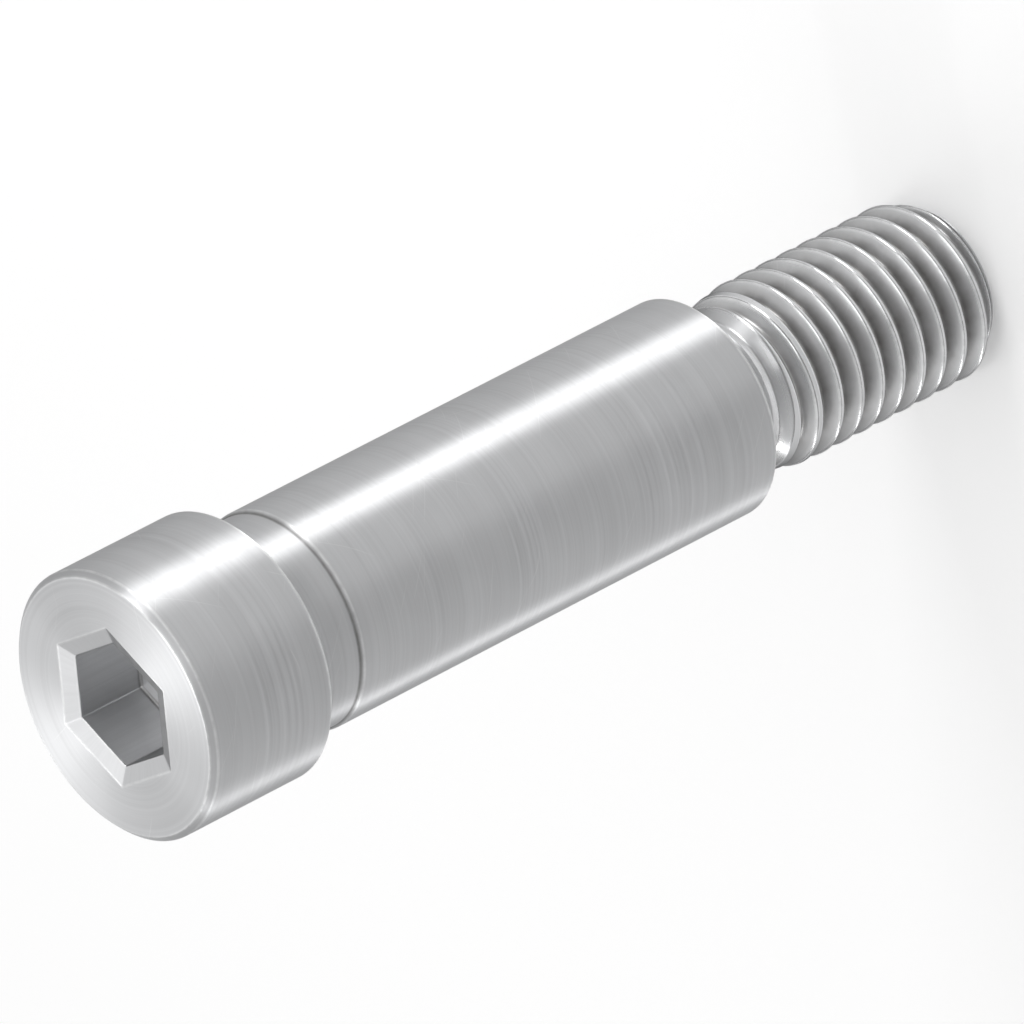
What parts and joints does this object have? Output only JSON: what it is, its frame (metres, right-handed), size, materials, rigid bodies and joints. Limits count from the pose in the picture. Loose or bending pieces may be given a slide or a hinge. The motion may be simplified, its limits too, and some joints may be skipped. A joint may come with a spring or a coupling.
{
  "type": "shoulder bolt",
  "caption": "Socket-head shoulder screw: a ground cylindrical shoulder for a pivot or guide, a hexagon-socket head and a smaller threaded end.",
  "frame": {"origin": "centre of the flat face at the threaded end, on which the bolt stands", "axes": "+Z along the bolt's axis, from the threaded end to the head; two corners of the hexagon socket lie on the Y axis"},
  "size_m": [0.0232, 0.0232, 0.0908],
  "materials": {
    "steel": "bright stainless steel, ground on the shoulder and fine-turned on the head"
  },
  "bodies": {
    "root": {"shoulder_bolt": "steel"}
  },
  "joints": []
}
